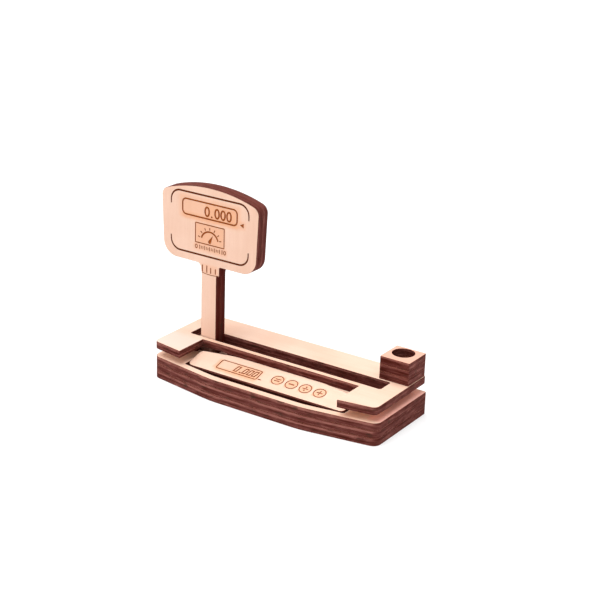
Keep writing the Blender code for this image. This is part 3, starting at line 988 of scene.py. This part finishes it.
def make_base():
    front = bowed_front(FRONT_Y, BASE_HALF, BASE_FRONT_RADIUS)
    rear = [(BASE_HALF, REAR_Y, REAR_RADIUS), (-BASE_HALF, REAR_Y, REAR_RADIUS)]
    outline = rounded(front + rear)
    half = POLE_WIDTH / 2 + POLE_SLIP
    mortise_low_y = POLE_FRONT_Y - POLE_SLIP
    mortise_high_y = POLE_FRONT_Y + 2 * PITCH
    mortise = rectangle(POLE_X - half, POLE_X + half, mortise_low_y, mortise_high_y)
    recess_front = bowed_front(FRONT_Y + LIP_WIDTH, RECESS_HALF, CUT_CORNER_RADIUS)
    recess_rear = [(RECESS_HALF, STRIP_FRONT_Y, CUT_CORNER_RADIUS),
                   (-RECESS_HALF, STRIP_FRONT_Y, CUT_CORNER_RADIUS)]
    recess = rounded(recess_front + recess_rear)
    trough = rectangle(TROUGH_LOW_X, OPENING_HIGH_X, TROUGH_LOW_Y, OPENING_REAR_Y,
                       CUT_CORNER_RADIUS)
    holes = {"bottom": [], "middle": [mortise], "top": [recess, trough, mortise]}
    # Painted warm bounce light in the shade under the pan's right end, and painted shade beside the
    # pole's foot
    spots = [
        (PAINTED_WARM_LIGHT, (65 * MM, 4 * MM), (4 * MM, 20 * MM), 3 * MM, 0.85),
        (PAINTED_GAP_SHADE, (POLE_X + POLE_WIDTH, POLE_FRONT_Y), (POLE_WIDTH / 2, PITCH), 1.5 * MM, 0.85),
    ]
    for level, (word, cuts) in enumerate(holes.items()):
        face, edge = board_looks("base", "base_" + word, level, spots=spots, contrast=1.35)
        board("base_" + word + "_board", outline, cuts, (0.0, 0.0, level * PITCH), face, edge)


def make_panel():
    bend = BOW_FLAT / 2
    shoulder = PANEL_DEPTH - PANEL_BOW
    outline = rounded(
        [
            (-PANEL_HALF, 0.0, PANEL_CORNER_RADIUS),
            (PANEL_HALF, 0.0, PANEL_CORNER_RADIUS),
            (PANEL_HALF, shoulder, PANEL_CORNER_RADIUS),
            (bend, PANEL_DEPTH, BOW_BEND_RADIUS / 2),
            (-bend, PANEL_DEPTH, BOW_BEND_RADIUS / 2),
            (-PANEL_HALF, shoulder, PANEL_CORNER_RADIUS),
        ]
    )
    window_x, window_y = PANEL_WINDOW

    # The window as a whole, its lower line, its left end and its digits, then the keys
    spots = [
        (SCORCH, PANEL_WINDOW, PANEL_WINDOW_HALF, 2.2 * MM, 0.22),
        (SCORCH, (window_x, 3.2 * MM), (PANEL_WINDOW_HALF[0] - 1 * MM, 0.4 * MM), 2.4 * MM, 0.60),
        (SCORCH, (-32.2 * MM, window_y), (0.5 * MM, 2.6 * MM), 1.8 * MM, 0.55),
        (SCORCH, (-14.5 * MM, window_y), (6.5 * MM, 2.4 * MM), 2.2 * MM, 0.45),
    ]
    spots += [(SCORCH, (x, KEYS_Y), (2.2 * MM, 2.2 * MM), 2.0 * MM, 0.60) for x in KEYS_X]
    # The panel's edge is painted black low down, as painted shadow in the recess
    face, edge = board_looks("control_panel", "control_panel", spots=spots, shade=-0.04,
                             end_shade=-0.04, foot=PANEL_SHADOW_HEIGHT)
    engraving = [(faint_burn, panel_window()), (key_burn, panel_keys())]
    place = (0.0, PANEL_FRONT_Y, PANEL_LEVEL * PITCH)
    board("control_panel", outline, [], place, face, edge, PANEL_TILT, engraving=engraving)


def make_spacer():
    outer = PAN_HALF - SPACER_SIDE_INSET
    rear_y = REAR_Y - SPACER_REAR_INSET
    inner_low = POLE_X - POLE_WIDTH / 2 - POLE_SLIP
    inner_high = OPENING_HIGH_X + SPACER_SETBACK
    bar_y = OPENING_REAR_Y + SPACER_SETBACK
    outline = rounded(
        [
            (PAN_X - outer, STRIP_FRONT_Y, 0.0),
            (inner_low, STRIP_FRONT_Y, 0.0),
            (inner_low, bar_y, CUT_CORNER_RADIUS),
            (inner_high, bar_y, CUT_CORNER_RADIUS),
            (inner_high, STRIP_FRONT_Y, 0.0),
            (PAN_X + outer, STRIP_FRONT_Y, 0.0),
            (PAN_X + outer, rear_y, REAR_RADIUS),
            (PAN_X - outer, rear_y, REAR_RADIUS),
        ]
    )
    face, edge = board_looks("pan_spacer", "pan_spacer", shade=0.15, end_shade=0.15)
    place = (0.0, 0.0, SPACER_LEVEL * PITCH)
    board("pan_spacer", outline, [], place, face, edge)


def make_pan():
    low_x = PAN_X - PAN_HALF
    high_x = PAN_X + PAN_HALF
    end_y = PAN_FRONT_Y + bow_y(PAN_HALF)
    notch_low = CUTS_X - NOTCH_HALF
    notch_high = CUTS_X + NOTCH_HALF
    outline = rounded(
        [
            (low_x, end_y, PAN_FRONT_RADIUS),
            (notch_low, PAN_FRONT_Y + bow_y(notch_low - PAN_X), 0.0),
            (notch_low, STRIP_FRONT_Y, 0.0),
            (notch_high, STRIP_FRONT_Y, 0.0),
            (notch_high, PAN_FRONT_Y + bow_y(notch_high - PAN_X), 0.0),
            (high_x, end_y, PAN_FRONT_RADIUS),
            (high_x, PAN_REAR_Y, REAR_RADIUS),
            (low_x, PAN_REAR_Y, REAR_RADIUS),
        ]
    )
    opening = rectangle(OPENING_LOW_X, OPENING_HIGH_X, STRIP_REAR_Y, OPENING_REAR_Y,
                        CUT_CORNER_RADIUS)
    strip_y = (STRIP_FRONT_Y + STRIP_REAR_Y) / 2
    # Along the strip a scorch that is partly painted shade, and painted light on the left arm
    spots = [
        (SCORCH, (CUTS_X, strip_y), (NOTCH_HALF - 1 * MM, 0.4 * MM), 1.6 * MM, 0.22),
        (PAINTED_CREAM_LIGHT, (-57 * MM, -13 * MM), (9 * MM, 5 * MM), 8 * MM, 0.9),
    ]
    face, edge = board_looks("weighing_pan", "weighing_pan", spots=spots, shade=0.06,
                             end_shade=-0.06, contrast=1.5)
    board("weighing_pan", outline, [opening], (0.0, 0.0, PAN_LEVEL * PITCH), face, edge)


def make_pen_block():
    outline = rectangle(-BLOCK_HALF, BLOCK_HALF, -BLOCK_HALF, BLOCK_HALF, BLOCK_CORNER_RADIUS)
    hole = oval(PEN_HOLE_X, PEN_HOLE_Y, PEN_HOLE_DIAMETER / 2, PEN_HOLE_DIAMETER / 2)
    slots = {"lower": "charred_plywood", "middle": "charred_plywood", "upper": "pale_plywood"}
    for level, (word, slot) in enumerate(slots.items()):
        # Painted shade: the block's top is tinted towards tan, and its front and back walls are
        # darker
        face, edge = board_looks("pen_block", "pen_block_" + word, level, tan=0.80, shade=0.24,
                                 end_shade=-0.06, contrast=1.3)
        place = (BLOCK_X, BLOCK_Y, (BLOCK_LEVEL + level) * PITCH)
        board("pen_block_" + word + "_board", outline, [hole], place, face, edge)


def flared_side():
    """One side of the display from the tenon to the head's lower corner, as the right side."""
    pole = POLE_WIDTH / 2
    return [
        (pole, TENON_LEVEL * PITCH, 0.0),
        (pole, NECK_BOTTOM_Z, NECK_BEND_RADIUS),
        (pole + NECK_FLARE, HEAD_BOTTOM_Z, NECK_FILLET_RADIUS),
        (HEAD_BOTTOM_WIDTH / 2, HEAD_BOTTOM_Z, HEAD_BOTTOM_RADIUS),
    ]


def collared_side():
    """The same with a collar that steps out under the head."""
    pole = POLE_WIDTH / 2
    collar = pole + COLLAR_STEP
    return [
        (pole, TENON_LEVEL * PITCH, 0.0),
        (pole, NECK_BOTTOM_Z, 0.0),
        (collar, NECK_BOTTOM_Z, COLLAR_CORNER_RADIUS),
        (collar, HEAD_BOTTOM_Z, COLLAR_FILLET_RADIUS),
        (HEAD_BOTTOM_WIDTH / 2, HEAD_BOTTOM_Z, HEAD_BOTTOM_RADIUS),
    ]


def display_outline(right_side):
    """Tenon, pole, neck and head, with the height as second coordinate."""
    high = HEAD_TOP_WIDTH / 2
    crown = []
    for step in range(CROWN_SEGMENTS + 1):
        x = high - 2 * high * step / CROWN_SEGMENTS
        drop = HEAD_CROWN_RADIUS - math.sqrt(HEAD_CROWN_RADIUS**2 - x**2)
        crown.append((x, HEAD_TOP_Z - drop, 0.0))
    shoulder = crown[0][1]
    crown = [point for point in crown if abs(point[0]) < high - CROWN_CLEARANCE]
    crown = [(high, shoulder, HEAD_TOP_RADIUS), *crown, (-high, shoulder, HEAD_TOP_RADIUS)]
    left_side = [(-x, z, radius) for x, z, radius in reversed(flared_side())]
    return rounded(right_side + crown + left_side)


def make_display():
    # The window as a whole, its lower line, digits, dial, graduation, pointer and ribs
    halos = [
        (SCORCH, WINDOW, (WINDOW_HALF[0] + 0.6 * MM, WINDOW_HALF[1] + 0.6 * MM), 3.0 * MM, 0.42),
        (SCORCH, (WINDOW[0], 84.0 * MM), (WINDOW_HALF[0] - 1 * MM, 0.3 * MM), 2.4 * MM, 0.60),
        (SCORCH, (7.0 * MM, DIGITS_Z), (8.5 * MM, 3.0 * MM), 2.2 * MM, 0.58),
        (SCORCH, GAUGE, (GAUGE_HALF[0] - 1 * MM, GAUGE_HALF[1] - 1 * MM), 2.6 * MM, 0.62),
        (SCORCH, (0.5 * MM, SCALE_Z), (9.5 * MM, 0.9 * MM), 2.0 * MM, 0.5),
        (SCORCH, POINTER, (1.0 * MM, 1.0 * MM), 2.2 * MM, 0.4),
        (SCORCH, (0.4 * MM, 57.4 * MM), (4.4 * MM, 1.9 * MM), 1.6 * MM, 0.35),
    ]

    # Painted shade at the pole's foot, on both boards
    foot_shade = (PAINTED_GAP_SHADE, (0.0, 2 * PITCH), (POLE_WIDTH / 2, 1.8 * PITCH), 1.0 * MM, 0.95)
    engraving = [
        (deep_burn, head_brackets()),
        (light_burn, head_window() + head_gauge() + collar_lines()),
    ]
    boards = (
        ("front", collared_side(), [*halos, foot_shade], engraving),
        ("rear", flared_side(), [foot_shade], []),
    )
    for index, (word, right_side, spots, burns) in enumerate(boards):
        face, edge = board_looks("display", "display_" + word, index, upright=True, spots=spots,
                                 tan=0.13, shade=HEAD_SHADE[word], end_shade=HEAD_TOP_SHADE[word],
                                 contrast=0.75)
        place = (POLE_X, POLE_FRONT_Y + index * PITCH + THICKNESS, 0.0)
        board("display_" + word + "_board", display_outline(right_side), [], place, face, edge,
              math.pi / 2, engraving=burns)


def add_floor():
    mesh = bpy.data.meshes.new("floor")
    work = bmesh.new()
    bmesh.ops.create_grid(work, x_segments=1, y_segments=1, size=FLOOR_HALF)
    work.to_mesh(mesh)
    work.free()
    shader = Shader("floor")
    mottle = shader.noise(FLOOR_MOTTLE_SIZE, 2.0)
    colour = shader.mix(mottle, FLOOR_COLOUR, FLOOR_COLOUR_LIGHT)
    shader.surface.inputs["Emission Color"].default_value = (1.0, 1.0, 1.0, 1.0)
    shader.surface.inputs["Emission Strength"].default_value = FLOOR_GLOW
    shader.surface.inputs["Specular IOR Level"].default_value = 0.1
    mesh.materials.append(shader.finish(colour, 0.9))
    floor = bpy.data.objects.new("floor", mesh)
    floor.location = (0.0, 0.0, -FLOOR_DROP)
    bpy.context.scene.collection.objects.link(floor)


def add_light(name, direction, softness, strength):
    """A far soft lamp: the direction it stands in, how wide it looks, and its strength."""
    light = bpy.data.lights.new(name, "SUN")
    light.energy = strength
    light.angle = softness
    obj = bpy.data.objects.new(name, light)
    obj.rotation_euler = Vector(direction).to_track_quat("Z", "Y").to_euler()
    bpy.context.scene.collection.objects.link(obj)


def add_lights():
    world = bpy.data.worlds.new("studio")
    world.use_nodes = True
    nodes, links = world.node_tree.nodes, world.node_tree.links
    background = nodes["Background"]
    background.inputs["Color"].default_value = (1.0, 1.0, 1.0, 1.0)
    heading = nodes.new("ShaderNodeTexCoord")
    height = nodes.new("ShaderNodeSeparateXYZ")
    fade = nodes.new("ShaderNodeMapRange")
    fade.inputs["From Max"].default_value = HORIZON_TOP
    fade.inputs["To Min"].default_value = HORIZON_STRENGTH
    fade.inputs["To Max"].default_value = SKY_STRENGTH
    links.new(heading.outputs["Generated"], height.inputs[0])
    links.new(height.outputs["Z"], fade.inputs["Value"])
    links.new(fade.outputs[0], background.inputs["Strength"])
    bpy.context.scene.world = world
    add_light("overhead", OVERHEAD_DIRECTION, OVERHEAD_SOFTNESS, OVERHEAD_STRENGTH)
    add_light("front", FRONT_DIRECTION, FRONT_SOFTNESS, FRONT_STRENGTH)


def add_camera():
    flat = math.cos(CAMERA_ELEVATION)
    back = Vector((math.sin(CAMERA_AZIMUTH) * flat, -math.cos(CAMERA_AZIMUTH) * flat,
                   math.sin(CAMERA_ELEVATION)))
    level_right = Vector((math.cos(CAMERA_AZIMUTH), math.sin(CAMERA_AZIMUTH), 0.0))
    level_up = back.cross(level_right)
    right = math.cos(CAMERA_ROLL) * level_right + math.sin(CAMERA_ROLL) * level_up
    up = math.cos(CAMERA_ROLL) * level_up - math.sin(CAMERA_ROLL) * level_right
    data = bpy.data.cameras.new("camera")
    data.lens = CAMERA_LENS
    data.sensor_width = CAMERA_SENSOR
    data.sensor_fit = "HORIZONTAL"
    data.clip_start = CAMERA_NEAR
    data.clip_end = CAMERA_FAR
    camera = bpy.data.objects.new("camera", data)
    place = back * CAMERA_DISTANCE + right * CAMERA_RIGHT + up * CAMERA_UP + CAMERA_AIM
    turn = Matrix((right, up, back)).transposed().to_4x4()
    camera.matrix_world = Matrix.Translation(place) @ turn
    bpy.context.scene.collection.objects.link(camera)
    bpy.context.scene.camera = camera


bpy.context.scene.view_settings.view_transform = "Standard"
# Rims are toasted, and painted darker as shade in the grooves between boards
rim_toast_and_shade = plain_burn("rim_toast_and_shade", TOAST, TOAST_LIGHT, 1.0)
deep_burn = plain_burn("deep_burn", DEEP_BURN, DEEP_BURN_LIGHT, 2.0)
light_burn = plain_burn("light_burn", LIGHT_BURN, LIGHT_BURN_LIGHT, 3.0)
faint_burn = plain_burn("faint_burn", FAINT_BURN, FAINT_BURN_LIGHT, 4.0)
key_burn = plain_burn("key_burn", KEY_BURN, KEY_BURN_LIGHT, 5.0)
add_camera()
add_floor()
add_lights()
make_base()
make_panel()
make_spacer()
make_pan()
make_pen_block()
make_display()
